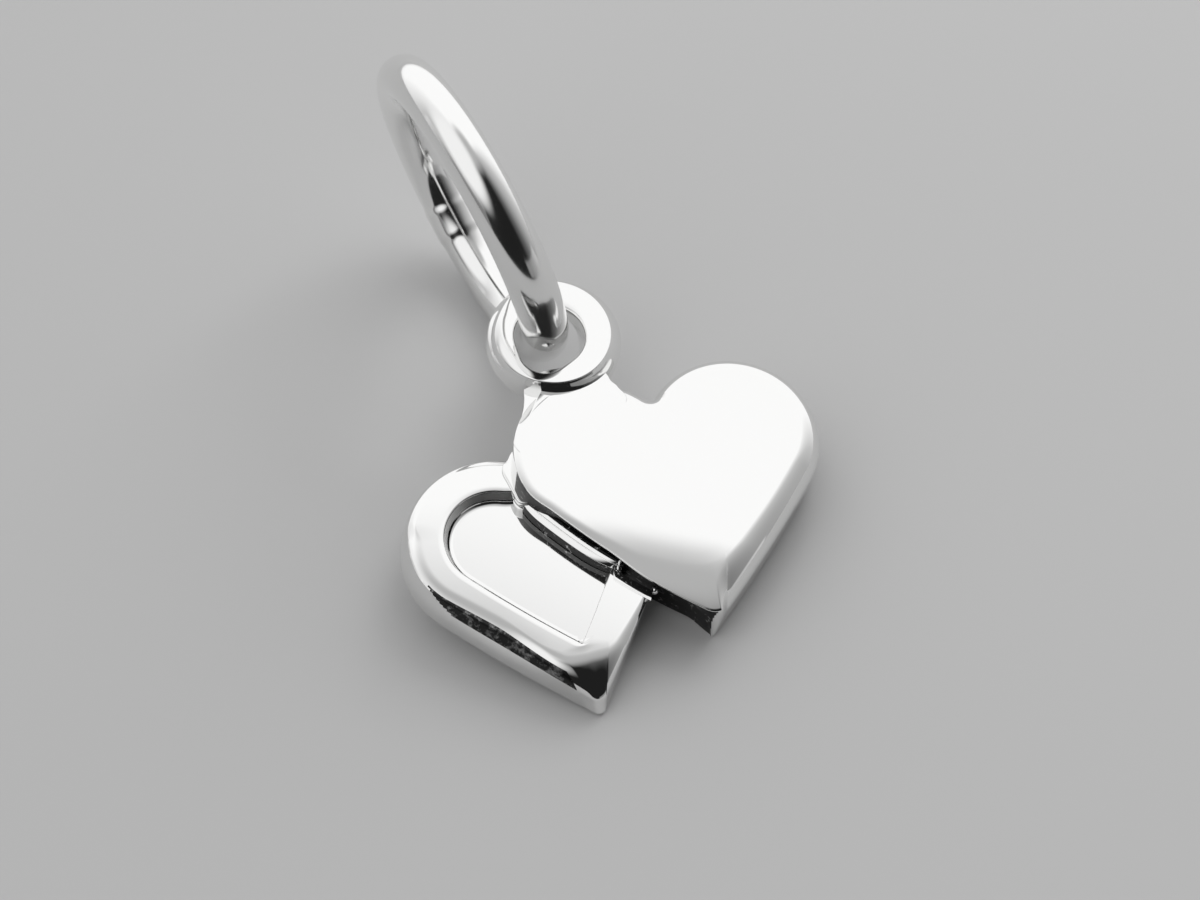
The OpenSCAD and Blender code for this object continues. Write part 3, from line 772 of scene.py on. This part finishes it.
cameraPlace = (Vector(view["target"]) - view["distance"] * forward) * mm
camera.matrix_world = Matrix.Translation(cameraPlace) @ cameraTurn
scene.collection.objects.link(camera)
scene.camera = camera

# Soft studio: a broad white side behind the object, a dim side towards the camera, and grey overhead.
# Each side is a heading in degrees from +X and how bright the studio is there.
scene.view_settings.view_transform = "Standard"
studio = {
    "sides": [
        (-180, 0.1), (-165, 0.03), (-130, 0.015), (-62, 0.015), (-42, 0.14), (-18, 0.4), (2, 0.6), (25, 1.1),
        (118, 1.1), (140, 0.85), (160, 0.45), (180, 0.1),
    ],
    "overhead": {"from": 67, "to": 82, "bright": 0.5},
    # A broad soft light high on the left, bright in its middle and fading out all round
    "glow": {"heading": 190, "height": 48, "inside": 24, "outside": 44, "bright": 1.0},
}


def makeStudio():
    world = bpy.data.worlds.new("studio")
    world.use_nodes = True
    nodes, links = world.node_tree.nodes, world.node_tree.links
    direction = nodes.new("ShaderNodeTexCoord").outputs["Generated"]

    def fade(value, start, end):
        node = nodes.new("ShaderNodeMapRange")
        node.interpolation_type = "SMOOTHSTEP"
        node.inputs["From Min"].default_value = start
        node.inputs["From Max"].default_value = end
        links.new(value, node.inputs["Value"])
        return node.outputs["Result"]

    def lighten(colour, bright, share):
        node = nodes.new("ShaderNodeMix")
        node.data_type = "RGBA"
        links.new(share, node.inputs["Factor"])
        links.new(colour, node.inputs["A"])
        node.inputs["B"].default_value = (bright, bright, bright, 1)
        return node.outputs["Result"]

    heading = nodes.new("ShaderNodeTexGradient")
    heading.gradient_type = "RADIAL"
    links.new(direction, heading.inputs["Vector"])
    sides = nodes.new("ShaderNodeValToRGB")
    links.new(heading.outputs["Fac"], sides.inputs["Fac"])
    ramp = sides.color_ramp
    while len(ramp.elements) < len(studio["sides"]):
        ramp.elements.new(0.5)
    for element, (degrees, bright) in zip(ramp.elements, studio["sides"]):
        element.position = degrees / 360 + 0.5
    for element, (degrees, bright) in zip(ramp.elements, studio["sides"]):
        element.color = (bright, bright, bright, 1)
    overhead, glow = studio["overhead"], studio["glow"]
    parts = nodes.new("ShaderNodeSeparateXYZ")
    links.new(direction, parts.inputs["Vector"])
    start, end = (math.sin(math.radians(overhead[key])) for key in ("from", "to"))
    colour = lighten(sides.outputs["Color"], overhead["bright"], fade(parts.outputs["Z"], start, end))
    aside, aloft = math.radians(glow["heading"]), math.radians(glow["height"])
    middle = (math.cos(aside) * math.cos(aloft), math.sin(aside) * math.cos(aloft), math.sin(aloft))
    toMiddle = nodes.new("ShaderNodeVectorMath")
    toMiddle.operation = "DOT_PRODUCT"
    links.new(direction, toMiddle.inputs[0])
    toMiddle.inputs[1].default_value = middle
    start, end = (math.cos(math.radians(glow[key])) for key in ("outside", "inside"))
    colour = lighten(colour, glow["bright"], fade(toMiddle.outputs["Value"], start, end))
    links.new(colour, nodes["Background"].inputs["Color"])
    return world


def softbox(name, place, size, bright, seen):
    light = bpy.data.lights.new(name, "AREA")
    light.shape, light.size, light.size_y = "RECTANGLE", size[0], size[1]
    light.energy = bright * math.pi * size[0] * size[1]
    thing = bpy.data.objects.new(name, light)
    thing.location = place
    thing.rotation_euler = (-Vector(place)).to_track_quat("-Z", "Y").to_euler()
    thing.visible_glossy = seen
    scene.collection.objects.link(thing)


scene.world = makeStudio()
softbox("overhead", place=(0.06, 0.06, 0.08), size=(0.07, 0.07), bright=2.2, seen=False)
softbox("left_card", place=(-0.3, -0.02, 0.03), size=(0.34, 0.12), bright=0.2, seen=True)
softbox("right_card", place=(0.17, -0.19, 0.008), size=(0.26, 0.06), bright=0.25, seen=True)
print("table, camera and studio")
